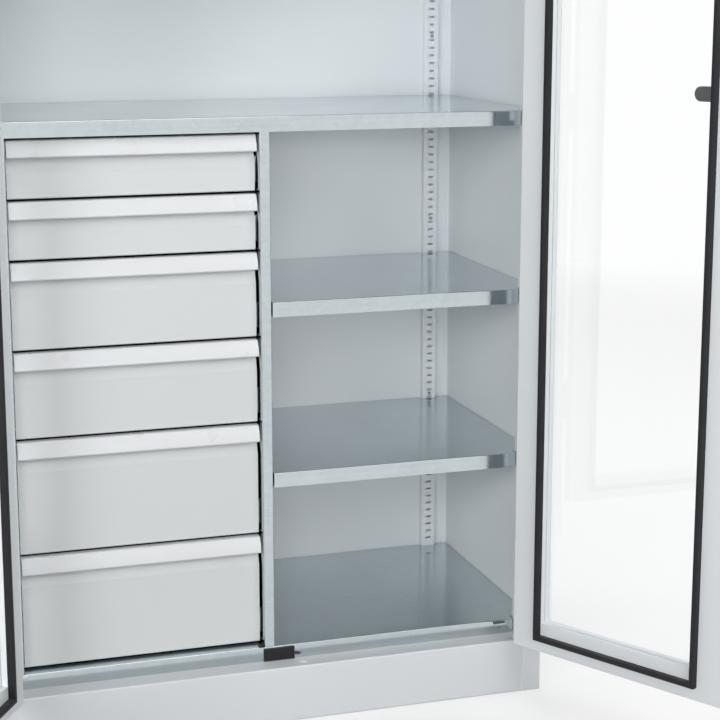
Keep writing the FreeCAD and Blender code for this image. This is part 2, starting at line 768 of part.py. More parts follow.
def door_shell():
    """A hollow door of two skins, folded in round the window to lips that clamp the pane."""
    slab = door_blank(0, 0, 0, FRONT, DOOR_INNER)
    hollow = door_blank(SHEET, SHEET, SHEET, FRONT + SHEET, DOOR_INNER - SHEET)
    lips = window_blank(-SHEET, FRONT, DOOR_INNER)
    pane_space = door_blank(SHEET, SHEET, SHEET, PANE_FRONT, PANE_REAR)
    opening = window_blank(0, FRONT - SHEET, DOOR_INNER + SHEET)
    return slab.cut(hollow).fuse(lips).cut(group([pane_space, opening])).removeSplitter()


def lock_bores():
    """Holes in the right door for the lock spindle and for the ends of both rods."""
    spindle = rod(SPINDLE_RADIUS + SPINDLE_FIT, 3 * SHEET, (LOCK_X, FRONT - SHEET, LOCK_Z), (0, 1, 0))
    ends = [
        rod(ROD_RADIUS + ROD_CLEAR, 3 * SHEET, (LOCK_X, ROD_Y, z), (0, 0, 1))
        for z in (DOOR_BOTTOM - SHEET, DOOR_TOP - 2 * SHEET)
    ]
    return group([spindle, *ends])


def door_pane():
    return window_blank(-PANE_LAP, PANE_FRONT, PANE_REAR)


def door_trim():
    """The rubber profile round the window on the inner face of a door."""
    margins = (TRIM_HINGE_MARGIN, TRIM_FREE_MARGIN, TRIM_END_MARGIN)
    ring = door_blank(*margins, DOOR_INNER, DOOR_INNER + TRIM_HEIGHT)
    clear = door_blank(*(m + TRIM_WIDTH for m in margins), DOOR_INNER - SHEET, DOOR_INNER + 2 * TRIM_HEIGHT)
    ring = ring.cut(clear)
    crest = [e for e in ring.Edges if e.BoundBox.YMin > DOOR_INNER + TRIM_HEIGHT / 2]
    return ring.makeFillet(TRIM_WIDTH / 4, crest)


def hinge_knuckle(bottom, leaf_x0, leaf_x1):
    """A bored barrel with a leaf that lies on the front."""
    barrel = rod(HINGE_BARREL_RADIUS, HINGE_KNUCKLE, (OPENING, HINGE_Y, bottom), (0, 0, 1))
    leaf = block(leaf_x0, leaf_x1, FRONT - HINGE_LEAF, FRONT, bottom, bottom + HINGE_KNUCKLE)
    bore = rod(
        HINGE_PIN_RADIUS + HINGE_FIT, HINGE_KNUCKLE + 2 * SHEET, (OPENING, HINGE_Y, bottom - SHEET), (0, 0, 1)
    )
    return barrel.fuse(leaf).cut(bore).removeSplitter()


def hinge_levels():
    """Where each hinge starts, evenly spread between the ends of the door."""
    low = DOOR_BOTTOM + HINGE_END_INSET
    high = DOOR_TOP - HINGE_END_INSET - 2 * HINGE_KNUCKLE - HINGE_WASHER_GAP
    return [low + (high - low) * number / (HINGE_COUNT - 1) for number in range(HINGE_COUNT)]


def frame_knuckles():
    """The lower knuckles, welded to the right upright."""
    return [
        hinge_knuckle(z, OPENING + FIT_CLEAR, OPENING + HINGE_LEAF_WIDTH)
        for z in hinge_levels()
    ]


def door_knuckles():
    """The upper knuckles, welded to the right door."""
    rise = HINGE_KNUCKLE + HINGE_WASHER_GAP
    return [
        hinge_knuckle(z + rise, OPENING - HINGE_LEAF_WIDTH, OPENING - DOOR_GAP)
        for z in hinge_levels()
    ]


def hinge_pins():
    """A headed pin through each pair of knuckles."""
    pins = []
    for z in hinge_levels():
        length = 2 * HINGE_KNUCKLE + HINGE_WASHER_GAP
        shank = rod(HINGE_PIN_RADIUS, length, (OPENING, HINGE_Y, z), (0, 0, 1))
        foot = rod(HINGE_BARREL_RADIUS, HINGE_CAP, (OPENING, HINGE_Y, z - HINGE_CAP), (0, 0, 1))
        pins.append(shank.fuse(foot).removeSplitter())
    return pins


def meeting_strip():
    """A strip behind the right door's edge, carried by the left door."""
    low = DOOR_INNER + STRIP_CLEAR
    bottom = DOOR_BOTTOM + STRIP_END_MARGIN
    top = DOOR_TOP - STRIP_END_MARGIN
    return block(STRIP_LAP - STRIP_WIDTH, STRIP_LAP, low, low + SHEET, bottom, top)


def lock_housing():
    """The plate on the front of the right door that the lever turns on."""
    half = LOCK_HOUSING_WIDTH / 2
    tall = LOCK_HOUSING_HEIGHT / 2
    face = FRONT - LOCK_HOUSING_DEPTH
    plate = block(LOCK_X - half, LOCK_X + half, face, FRONT, LOCK_Z - tall, LOCK_Z + tall)
    corners = [e for e in plate.Edges if e.BoundBox.YLength > LOCK_HOUSING_DEPTH / 2]
    plate = plate.makeFillet(LOCK_CORNER, corners)
    start = (LOCK_X, face - SHEET, LOCK_Z)
    return plate.cut(rod(SPINDLE_RADIUS + SPINDLE_FIT, LOCK_HOUSING_DEPTH + 2 * SHEET, start, (0, 1, 0)))


def lock_lever():
    """The swivel lever with its spindle; it lies level when the lock is open."""
    back = FRONT - LEVER_STANDOFF
    half = LEVER_WIDTH / 2
    tip = LOCK_X + LEVER_LENGTH - half
    arm = block(LOCK_X - half, tip, back - LEVER_THICK, back, LOCK_Z - half, LOCK_Z + half)
    ends = [e for e in arm.Edges if e.BoundBox.YLength > LEVER_THICK / 2]
    arm = arm.makeFillet(half * 0.96, ends)
    rim = [e for e in arm.Edges if e.BoundBox.YMax < back - LEVER_THICK / 2]
    arm = arm.makeFillet(LEVER_THICK / 4, rim)
    reach = FRONT + SHEET + CAM_SETBACK + CAM_THICK - back
    spindle = rod(SPINDLE_RADIUS, reach, (LOCK_X, back, LOCK_Z), (0, 1, 0))
    return arm.fuse(spindle).removeSplitter()


def lock_cam():
    """The disc on the spindle's inner end that drives the two rods."""
    base = (LOCK_X, FRONT + SHEET + CAM_SETBACK, LOCK_Z)
    bore = rod(SPINDLE_RADIUS + SPINDLE_FIT, CAM_THICK, base, (0, 1, 0))
    return rod(CAM_RADIUS, CAM_THICK, base, (0, 1, 0)).cut(bore)


def lock_rod(low, high):
    return rod(ROD_RADIUS, high - low, (LOCK_X, ROD_Y, low), (0, 0, 1))


def rod_guides():
    """Bored blocks inside the right door, on its inner skin."""
    half = GUIDE_WIDTH / 2
    front = ROD_Y - ROD_RADIUS - 2 * SHEET
    levels = [
        DOOR_BOTTOM + GUIDE_END_INSET,
        LOCK_Z - GUIDE_LOCK_INSET,
        LOCK_Z + GUIDE_LOCK_INSET,
        DOOR_TOP - GUIDE_END_INSET,
    ]
    guides = []
    for level in levels:
        low = level - GUIDE_LENGTH / 2
        body = block(LOCK_X - half, LOCK_X + half, front, DOOR_INNER - SHEET, low, low + GUIDE_LENGTH)
        bore = rod(ROD_RADIUS + SPINDLE_FIT, GUIDE_LENGTH, (LOCK_X, ROD_Y, low), (0, 0, 1))
        guides.append(body.cut(bore))
    return group(guides)


def opened(shape):
    """A piece of the right door, swung open about its hinge pins."""
    turned = shape.copy()
    turned.rotate(V(OPENING, HINGE_Y, 0), V(0, 0, 1), DOOR_OPEN)
    return turned


def build():
    """Every piece by its node name."""
    right_wall = side_panel()
    pieces = {
        "side_panel_right": right_wall,
        "side_panel_left": mirrored(right_wall),
        "back_panel": back_panel(),
        "roof_panel": roof_panel(),
        "front_header": front_header(),
        "base_front": base_front(),
        "base_rear": base_rear(),
        "base_bearers": base_bearers(),
        "floor_tray": floor_tray(),
        "centre_divider": centre_divider(),
        "drawer_partition": upright_wall(PARTITION_LEFT, PARTITION_FACE, PARTITION_REAR),
        "main_shelf": shelf(MAIN_STEPS, True),
        "upper_shelves": group([shelf(steps, True) for steps in upper_steps()]),
        "half_shelves": group([shelf(steps, False) for steps in (LOWER_HALF_STEPS, UPPER_HALF_STEPS)]),
        "slotted_columns": slotted_columns(),
        "column_screws": column_screws(),
        "shelf_brackets": shelf_brackets(),
        "rubber_pads": rubber_pads(),
        "fixed_runners": fixed_runners(),
    }
    for number, (bottom, top) in enumerate(drawer_levels(), 1):
        pieces[f"drawer_{number}_front"] = drawer_front(bottom, top)
        pieces[f"drawer_{number}_grip"] = drawer_grip(top)
        pieces[f"drawer_{number}_box"] = drawer_box(bottom, top)
        pieces[f"drawer_{number}_middle_runners"] = middle_runners(bottom)
    shell = door_shell()
    pins = hinge_pins()
    knuckles = frame_knuckles()
    pieces["hinge_pins"] = group(pins + [mirrored(pin) for pin in pins])
    pieces["frame_knuckles"] = group(knuckles + [mirrored(one) for one in knuckles])
    right_door = {
        "door_right_shell": shell.cut(lock_bores()),
        "door_right_pane": door_pane(),
        "door_right_trim": door_trim(),
        "door_right_knuckles": group(door_knuckles()),
        "lock_housing": lock_housing(),
        "lock_lever": lock_lever(),
        "lock_cam": lock_cam(),
        "lock_rod_upper": lock_rod(LOCK_Z + CAM_RADIUS + CAM_GAP, DOOR_TOP - ROD_END_GAP),
        "lock_rod_lower": lock_rod(DOOR_BOTTOM + ROD_END_GAP, LOCK_Z - CAM_RADIUS - CAM_GAP),
        "rod_guides": rod_guides(),
    }
    left_door = {
        "door_left_shell": shell,
        "door_left_pane": door_pane(),
        "door_left_trim": door_trim(),
        "door_left_knuckles": group(door_knuckles()),
        "meeting_strip": mirrored(meeting_strip()),
    }
    for name, shape in right_door.items():
        pieces[name] = opened(shape)
    for name, shape in left_door.items():
        pieces[name] = mirrored(opened(shape))
    return pieces


os.makedirs("parts", exist_ok=True)
for node, piece in build().items():
    piece.exportStep(f"parts/{node}.step")
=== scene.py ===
import math

import bmesh
import bpy
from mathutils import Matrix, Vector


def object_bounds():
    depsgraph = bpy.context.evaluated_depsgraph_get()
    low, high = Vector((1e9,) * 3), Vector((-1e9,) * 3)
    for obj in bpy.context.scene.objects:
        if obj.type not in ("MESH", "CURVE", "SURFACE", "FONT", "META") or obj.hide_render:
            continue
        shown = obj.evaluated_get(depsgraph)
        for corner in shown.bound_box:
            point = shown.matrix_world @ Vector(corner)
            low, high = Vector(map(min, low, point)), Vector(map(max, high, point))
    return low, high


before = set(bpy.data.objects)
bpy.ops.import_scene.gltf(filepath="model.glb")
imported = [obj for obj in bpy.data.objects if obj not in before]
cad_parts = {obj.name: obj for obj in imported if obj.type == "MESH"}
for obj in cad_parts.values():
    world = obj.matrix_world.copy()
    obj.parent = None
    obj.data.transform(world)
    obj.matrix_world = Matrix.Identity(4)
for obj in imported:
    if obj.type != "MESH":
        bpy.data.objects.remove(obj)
cad_low, cad_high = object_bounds()

# The camera stands to the left, a little above the main shelf, and looks down at the lower right half.
CAMERA_PLACE = (-0.7234, -3.0161, 1.2703)
CAMERA_YAW = 17.591
CAMERA_DIP = 10.825
CAMERA_SENSOR = 36.0
CAMERA_LENS = 86.826
CAMERA_SHIFT = -0.06

# Finishes: red, green and blue from 0 to 255.
# One paint for the whole cabinet: its grey is made lighter as painted light for the inside, and the base,
# frame front, header, doors and drawer fronts take darker copies of it as painted shade.
CABINET_GREY_PAINTED_LIGHT = (235, 240, 243)
BASE_GREY_PAINTED_SHADE = (209, 213, 216)
DOOR_GREY_PAINTED_SHADE = (219, 223, 226)
DRAWER_GREY_PAINTED_SHADE = (204, 207, 208)
GRIP_GREY = (213, 215, 217)
RUBBED_GREY = (242, 244, 245)
ZINC = (205, 213, 216)
ZINC_SHADE = (190, 200, 204)
BRIGHT_STEEL = (196, 199, 201)
STEEL_SHADE = (158, 162, 166)
SEAL_BLACK = (38, 38, 40)
LOCK_BLACK = (30, 31, 33)
DUST = (206, 204, 198)
FLOOR_WHITE = (240, 240, 240)
FLOOR_BOUNCE = (150, 150, 150)

# Light values of the pane and of plain white, and how strongly the pane bends light.
PANE_TINT = (0.985, 0.99, 0.99, 1.0)
PANE_SHADOW = (0.94, 0.95, 0.95, 1.0)
PANE_INDEX = 1.49
PLAIN_WHITE = (1.0, 1.0, 1.0, 1.0)

# The floor keeps the cabinet's shadow near it and fades to plain white further off, in metres.
# Shiny sheet mirrors it with a longer fade and a smaller share of white.
FLOOR_RADIUS = 14.0
FLOOR_SEGMENTS = 96
FLOOR_NEAR = 0.5
FLOOR_PLAIN_FROM = 1.8
FLOOR_MIRROR_FROM = 5.0
FLOOR_SHARE = 0.55
FLOOR_MIRROR_SHARE = 0.4
FLOOR_DROP = 0.0005

# How strongly the white surround lights the scene.
SURROUND_LIGHT = 0.02

# The front plane of the frame, and the depth over which its darker grey, painted shade, changes to the
# lighter grey behind it.
FRAME_FRONT = -0.25
FRAME_FRONT_FADE = 0.002


def shade(rgb):
    """A finish colour as Blender's light values."""
    return tuple((c / 255 / 12.92) if c <= 10 else ((c / 255 + 0.055) / 1.055) ** 2.4 for c in rgb) + (1.0,)


def add_node(tree, kind, settings=None, **inputs):
    """A shader node with its settings and sockets filled in; a socket as value is linked."""
    made = tree.nodes.new("ShaderNode" + kind)
    for key, value in (settings or {}).items():
        setattr(made, key, value)
    for name, value in inputs.items():
        feed(tree, made.inputs[name.replace("_", " ")], value)
    return made


def feed(tree, socket, value):
    """Links the socket to another one, or sets it to a plain value."""
    if isinstance(value, bpy.types.NodeSocket):
        tree.links.new(value, socket)
    else:
        socket.default_value = value


def maths(tree, operation, first, second):
    """Two values, of which at least one changes over the surface, put together."""
    made = tree.nodes.new("ShaderNodeMath")
    made.operation = operation
    feed(tree, made.inputs[0], first)
    feed(tree, made.inputs[1], second)
    return made.outputs[0]


def between(tree, value, low, high, start=0.0, end=1.0):
    """value from start to end, spread from low to high."""
    made = add_node(tree, "MapRange", Value=value, From_Min=start, From_Max=end, To_Min=low, To_Max=high)
    return made.outputs["Result"]


def colours_mixed(tree, share, first, second, how="MIX"):
    """The first colour with a share of the second on it."""
    made = tree.nodes.new("ShaderNodeMix")
    made.data_type = "RGBA"
    made.blend_type = how
    # Inputs 6 and 7 and output 2 are the colour sockets of this node.
    feed(tree, made.inputs[0], share)
    feed(tree, made.inputs[6], first)
    feed(tree, made.inputs[7], second)
    return made.outputs[2]


def effect_group(name, inputs, outputs):
    """An empty effect: its node tree, its input node and its output node."""
    tree = bpy.data.node_groups.new(name, "ShaderNodeTree")
    for label, kind, value in inputs:
        socket = tree.interface.new_socket(label, in_out="INPUT", socket_type="NodeSocket" + kind)
        socket.default_value = value
    for label, kind in outputs:
        tree.interface.new_socket(label, in_out="OUTPUT", socket_type="NodeSocket" + kind)
    return tree, tree.nodes.new("NodeGroupInput"), tree.nodes.new("NodeGroupOutput")


def place_effect(tree, effect, **inputs):
    """The effect in a finish, with this finish's own values."""
    made = tree.nodes.new("ShaderNodeGroup")
    made.node_tree = effect
    for name, value in inputs.items():
        feed(tree, made.inputs[name.replace("_", " ")], value)
    return made.outputs


def powder_coat_effect():
    """Baked powder paint: slow drifts of tone and gloss, and the small lumps of its skin."""
    tree, given, put_out = effect_group(
        "powder_coat",
        [
            ("Paint", "Color", shade(CABINET_GREY_PAINTED_LIGHT)),
            ("Darkest", "Float", 0.98),
            ("Roughness Low", "Float", 0.32),
            ("Roughness High", "Float", 0.42),
            ("Skin Scale", "Float", 700.0),
        ],
        [("Paint", "Color"), ("Roughness", "Float"), ("Skin", "Float")],
    )
    where = add_node(tree, "TexCoord").outputs["Object"]
    drift = add_node(tree, "TexNoise", Vector=where, Scale=2.4, Detail=3.0, Roughness=0.55).outputs[0]
    haze = add_node(tree, "TexNoise", Vector=where, Scale=11.0, Detail=3.0, Roughness=0.5).outputs[0]
    lumps = add_node(tree, "TexNoise", Vector=where, Scale=given.outputs["Skin Scale"], Detail=1.5).outputs[0]
    tone = between(tree, drift, given.outputs["Darkest"], 1.0, 0.3, 0.7)
    grey = add_node(tree, "CombineColor", Red=tone, Green=tone, Blue=tone).outputs[0]
    paint = colours_mixed(tree, 1.0, given.outputs["Paint"], grey, "MULTIPLY")
    gloss = between(tree, haze, given.outputs["Roughness Low"], given.outputs["Roughness High"], 0.3, 0.7)
    feed(tree, put_out.inputs["Paint"], paint)
    feed(tree, put_out.inputs["Roughness"], gloss)
    feed(tree, put_out.inputs["Skin"], lumps)
    return tree


def edge_rub_effect():
    """A mask of the outer edges, where hands and tools have rubbed the finish in patches."""
    tree, given, put_out = effect_group(
        "edge_rub",
        [("Reach", "Float", 0.0008), ("Patch Scale", "Float", 60.0)],
        [("Rub", "Float")],
    )
    where = add_node(tree, "TexCoord").outputs["Object"]
    rounded = add_node(tree, "Bevel", {"samples": 4}, Radius=given.outputs["Reach"]).outputs[0]
    straight = add_node(tree, "NewGeometry").outputs["Normal"]
    along = add_node(tree, "VectorMath", {"operation": "DOT_PRODUCT"})
    feed(tree, along.inputs[0], rounded)
    feed(tree, along.inputs[1], straight)
    bend = between(tree, along.outputs["Value"], 1.0, 0.0, 0.72, 0.97)
    patch = add_node(tree, "TexNoise", Vector=where, Scale=given.outputs["Patch Scale"], Detail=3.0)
    worn = between(tree, patch.outputs[0], 0.15, 1.0, 0.4, 0.62)
    feed(tree, put_out.inputs["Rub"], maths(tree, "MULTIPLY", bend, worn))
    return tree


def zinc_crystal_effect():
    """The crystals of a zinc coat, each with its own share from dull to bright, and slow clouds over them."""
    tree, given, put_out = effect_group(
        "zinc_crystals",
        [("Crystal Scale", "Float", 110.0), ("Warp", "Float", 0.004)],
        [("Crystal", "Float"), ("Cloud", "Float")],
    )
    where = add_node(tree, "TexCoord").outputs["Object"]
    push = add_node(tree, "TexNoise", Vector=where, Scale=45.0, Detail=2.0).outputs[1]
    shift = add_node(tree, "VectorMath", {"operation": "SCALE"}, Scale=given.outputs["Warp"])
    feed(tree, shift.inputs[0], push)
    warped = add_node(tree, "VectorMath", {"operation": "ADD"})
    feed(tree, warped.inputs[0], where)
    feed(tree, warped.inputs[1], shift.outputs[0])
    cells = add_node(tree, "TexVoronoi", Vector=warped.outputs[0], Scale=given.outputs["Crystal Scale"])
    tone = add_node(tree, "SeparateColor", Color=cells.outputs["Color"]).outputs[0]
    cloud = add_node(tree, "TexNoise", Vector=where, Scale=5.0, Detail=3.0, Roughness=0.6).outputs[0]
    feed(tree, put_out.inputs["Crystal"], tone)
    feed(tree, put_out.inputs["Cloud"], between(tree, cloud, 0.0, 1.0, 0.3, 0.7))
    return tree


def rolled_streak_effect():
    """Fine lines left along a sheet or profile by the rolls or the die."""
    tree, given, put_out = effect_group(
        "rolled_streaks",
        [("Stretch", "Vector", (2.0, 400.0, 400.0))],
        [("Streak", "Float")],
    )
    where = add_node(tree, "TexCoord").outputs["Object"]
    drawn = add_node(tree, "VectorMath", {"operation": "MULTIPLY"})
    feed(tree, drawn.inputs[0], where)
    feed(tree, drawn.inputs[1], given.outputs["Stretch"])
    lines = add_node(tree, "TexNoise", Vector=drawn.outputs[0], Scale=1.0, Detail=3.0, Roughness=0.6)
    feed(tree, put_out.inputs["Streak"], between(tree, lines.outputs[0], 0.0, 1.0, 0.3, 0.7))
    return tree


def shop_dust_effect():
    """A mask of thin dust on faces that look up."""
    tree, given, put_out = effect_group(
        "shop_dust",
        [("Amount", "Float", 0.1), ("Patch Scale", "Float", 14.0)],
        [("Dust", "Float")],
    )
    where = add_node(tree, "TexCoord").outputs["Object"]
    normal = add_node(tree, "NewGeometry").outputs["Normal"]
    upward = add_node(tree, "SeparateXYZ", Vector=normal).outputs["Z"]
    lying = between(tree, upward, 0.0, 1.0, 0.75, 0.98)
    patch = add_node(tree, "TexNoise", Vector=where, Scale=given.outputs["Patch Scale"], Detail=5.0)
    spread = between(tree, patch.outputs[0], 0.2, 1.0, 0.35, 0.7)
    drift = maths(tree, "MULTIPLY", spread, given.outputs["Amount"])
    feed(tree, put_out.inputs["Dust"], maths(tree, "MULTIPLY", lying, drift))
    return tree


def hand_mark_effect():
    """A mask of faint smears where the piece is wiped or held."""
    tree, given, put_out = effect_group(
        "hand_marks",
        [("Smear Scale", "Float", 7.0), ("Smear From", "Float", 0.6), ("Smear To", "Float", 0.78)],
        [("Smear", "Float")],
    )
    where = add_node(tree, "TexCoord").outputs["Object"]
    size = given.outputs["Smear Scale"]
    wiped = add_node(tree, "TexNoise", Vector=where, Scale=size, Detail=6.0, Roughness=0.65, Distortion=1.2)
    smear = between(
        tree, wiped.outputs[0], 0.0, 1.0, given.outputs["Smear From"], given.outputs["Smear To"]
    )
    feed(tree, put_out.inputs["Smear"], smear)
    return tree


def new_finish(name):
    """A material with its shader, ready for the effects."""
    finish = bpy.data.materials.new(name)
    finish.use_nodes = True
    tree = finish.node_tree
    return finish, tree, tree.nodes["Principled BSDF"]


def raised(tree, shader, height, depth):
    """Bump on the shader, depth in metres."""
    bump = add_node(tree, "Bump", Strength=1.0, Distance=depth, Height=height)
    feed(tree, shader.inputs["Normal"], bump.outputs["Normal"])


def front_painted_shade(tree, inside, front):
    """The darker front grey, painted shade, on the frame's front plane, and the lighter inside grey, painted
    light, behind it.
    """
    where = add_node(tree, "TexCoord").outputs["Object"]
    depth = add_node(tree, "SeparateXYZ", Vector=where).outputs["Y"]
    share = between(tree, depth, 1.0, 0.0, FRAME_FRONT, FRAME_FRONT + FRAME_FRONT_FADE)
    return colours_mixed(tree, share, shade(inside), shade(front))


def painted_sheet(name, paint, gloss, dust, front=None):
    """Powder-coated sheet steel; where a front grey is given, the frame's front takes that darker grey as
    painted shade.
    """
    finish, tree, shader = new_finish(name)
    colour = front_painted_shade(tree, paint, front) if front else shade(paint)
    coat = place_effect(
        tree, effects["powder_coat"], Paint=colour, Darkest=0.975,
        Roughness_Low=gloss - 0.05, Roughness_High=gloss + 0.05, Skin_Scale=720.0,
    )
    rub = place_effect(tree, effects["edge_rub"], Reach=0.0009, Patch_Scale=48.0)["Rub"]
    dusted = place_effect(tree, effects["shop_dust"], Amount=dust, Patch_Scale=16.0)["Dust"]
    rubbed = colours_mixed(tree, maths(tree, "MULTIPLY", rub, 0.35), coat["Paint"], shade(RUBBED_GREY))
    feed(tree, shader.inputs["Base Color"], colours_mixed(tree, dusted, rubbed, shade(DUST)))
    dulled = maths(tree, "ADD", coat["Roughness"], maths(tree, "MULTIPLY", dusted, 0.5))
    polish = maths(tree, "MULTIPLY", rub, 0.08)
    feed(tree, shader.inputs["Roughness"], maths(tree, "SUBTRACT", dulled, polish))
    raised(tree, shader, coat["Skin"], 0.00002)
    shader.inputs["Specular IOR Level"].default_value = 0.45
    return finish


def grip_enamel():
    """Satin enamel on the drawn grip profiles."""
    finish, tree, shader = new_finish("grip_enamel")
    coat = place_effect(
        tree, effects["powder_coat"], Paint=shade(GRIP_GREY), Darkest=0.985,
        Roughness_Low=0.26, Roughness_High=0.34, Skin_Scale=950.0,
    )
    streak = place_effect(tree, effects["rolled_streaks"], Stretch=(0.3, 500.0, 500.0))["Streak"]
    rub = place_effect(tree, effects["edge_rub"], Reach=0.0008, Patch_Scale=70.0)["Rub"]
    shown = colours_mixed(tree, maths(tree, "MULTIPLY", rub, 0.4), coat["Paint"], shade(RUBBED_GREY))
    feed(tree, shader.inputs["Base Color"], shown)
    polish = maths(tree, "MULTIPLY", rub, 0.06)
    feed(tree, shader.inputs["Roughness"], maths(tree, "SUBTRACT", coat["Roughness"], polish))
    raised(tree, shader, streak, 0.000004)
    return finish


def zinc_sheet():
    """Zinc-coated sheet: tray, shelves, their brackets, divider, partition, drawer boxes and runners."""
    finish, tree, shader = new_finish("zinc_coat")
    crystals = place_effect(tree, effects["zinc_crystals"], Crystal_Scale=95.0, Warp=0.006)
    streak = place_effect(tree, effects["rolled_streaks"], Stretch=(1.2, 260.0, 260.0))["Streak"]
    dusted = place_effect(tree, effects["shop_dust"], Amount=0.03, Patch_Scale=12.0)["Dust"]
    mottle = maths(tree, "MULTIPLY", crystals["Crystal"], 0.30)
    cloudy = maths(tree, "MULTIPLY", crystals["Cloud"], 0.40)
    lined = maths(tree, "MULTIPLY", streak, 0.30)
    brightness = maths(tree, "ADD", maths(tree, "ADD", mottle, cloudy), lined)
    zinc = colours_mixed(tree, brightness, shade(ZINC_SHADE), shade(ZINC))
    feed(tree, shader.inputs["Base Color"], colours_mixed(tree, dusted, zinc, shade(DUST)))
    shader.inputs["Metallic"].default_value = 1.0
    satin = between(tree, brightness, 0.16, 0.10)
    dulled = maths(tree, "MULTIPLY", dusted, 0.8)
    feed(tree, shader.inputs["Roughness"], maths(tree, "ADD", satin, dulled))
    raised(tree, shader, lined, 0.00001)
    return finish


def bright_hardware():
    """Plated steel for the screws, the hinge pins, and the cam and rods of the lock."""
    finish, tree, shader = new_finish("bright_hardware")
    streak = place_effect(tree, effects["rolled_streaks"], Stretch=(300.0, 300.0, 20.0))["Streak"]
    marks = place_effect(tree, effects["hand_marks"], Smear_Scale=30.0, Smear_From=0.55, Smear_To=0.73)
    steel = colours_mixed(tree, streak, shade(STEEL_SHADE), shade(BRIGHT_STEEL))
    feed(tree, shader.inputs["Base Color"], steel)
    shader.inputs["Metallic"].default_value = 1.0
    feed(tree, shader.inputs["Roughness"], between(tree, marks["Smear"], 0.26, 0.4))
    raised(tree, shader, streak, 0.00001)
    return finish


def black_piece(name, black, gloss, skin_scale, skin_depth):
    """Rubber or moulded plastic with a fine stipple."""
    finish, tree, shader = new_finish(name)
    stipple = place_effect(
        tree, effects["powder_coat"], Paint=shade(black), Darkest=0.88,
        Roughness_Low=gloss - 0.06, Roughness_High=gloss + 0.06, Skin_Scale=skin_scale,
    )
    rub = place_effect(tree, effects["edge_rub"], Reach=0.001, Patch_Scale=80.0)["Rub"]
    dusted = place_effect(tree, effects["shop_dust"], Amount=0.06, Patch_Scale=25.0)["Dust"]
    paler = colours_mixed(tree, maths(tree, "MULTIPLY", rub, 0.1), stipple["Paint"], shade(STEEL_SHADE))
    feed(tree, shader.inputs["Base Color"], colours_mixed(tree, dusted, paler, shade(DUST)))
    feed(tree, shader.inputs["Roughness"], stipple["Roughness"])
    raised(tree, shader, stipple["Skin"], skin_depth)
    shader.inputs["Specular IOR Level"].default_value = 0.2
    return finish


def window_pane():
    """Clear acrylic with faint wiping marks; lamps shine through it."""
    finish, tree, shader = new_finish("clear_pane")
    marks = place_effect(tree, effects["hand_marks"], Smear_Scale=3.5, Smear_From=0.6, Smear_To=0.78)
    shader.inputs["Base Color"].default_value = PANE_TINT
    shader.inputs["Transmission Weight"].default_value = 1.0
    shader.inputs["IOR"].default_value = PANE_INDEX
    feed(tree, shader.inputs["Roughness"], between(tree, marks["Smear"], 0.0, 0.035))
    clear = add_node(tree, "BsdfTransparent", Color=PANE_SHADOW)
    path = add_node(tree, "LightPath")
    either = add_node(tree, "MixShader")
    feed(tree, either.inputs[0], path.outputs["Is Shadow Ray"])
    feed(tree, either.inputs[1], shader.outputs["BSDF"])
    feed(tree, either.inputs[2], clear.outputs["BSDF"])
    feed(tree, tree.nodes["Material Output"].inputs["Surface"], either.outputs["Shader"])
    return finish


effects = {
    "powder_coat": powder_coat_effect(),
    "edge_rub": edge_rub_effect(),
    "zinc_crystals": zinc_crystal_effect(),
    "rolled_streaks": rolled_streak_effect(),
    "shop_dust": shop_dust_effect(),
    "hand_marks": hand_mark_effect(),
}

finishes = {
    # The cabinet paint is lighter inside as painted light and darker on the frame's front as painted shade;
    # the base, door and drawer coats are darker copies of the same paint as painted shade.
    "body_paint": painted_sheet("cabinet_paint_painted_light_and_shade", CABINET_GREY_PAINTED_LIGHT, 0.40, 0.06, BASE_GREY_PAINTED_SHADE),
    "base_paint": painted_sheet("base_coat_painted_shade", BASE_GREY_PAINTED_SHADE, 0.40, 0.06),
    "door_paint": painted_sheet("door_coat_painted_shade", DOOR_GREY_PAINTED_SHADE, 0.38, 0.04),
    "drawer_paint": painted_sheet("drawer_coat_painted_shade", DRAWER_GREY_PAINTED_SHADE, 0.36, 0.04),
    "grip_paint": grip_enamel(),
    "zinc_sheet": zinc_sheet(),
    "hardware": bright_hardware(),
    "rubber": black_piece("seal_rubber", SEAL_BLACK, 0.55, 900.0, 0.00003),
    "lock_black": black_piece("lock_moulding", LOCK_BLACK, 0.42, 1400.0, 0.00003),
    "pane": window_pane(),
}


def dress(name, piece):
    """Puts the finish of its slot on a CAD piece; the header takes the base's darker grey as painted shade.
    """
    for place in piece.material_slots:
        # The header gets the base's darker grey as painted shade.
        slot = "base_paint" if name == "front_header" else place.material.name
        place.material = finishes[slot]


for name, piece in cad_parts.items():
    dress(name, piece)


def seen_plainly(tree):
    """1 for rays from the camera, a mirror or glass, and 0 for light that is on its way."""
    path = add_node(tree, "LightPath").outputs
    mirrored = maths(tree, "MAXIMUM", path["Is Glossy Ray"], path["Is Transmission Ray"])
    return maths(tree, "MAXIMUM", path["Is Camera Ray"], mirrored)


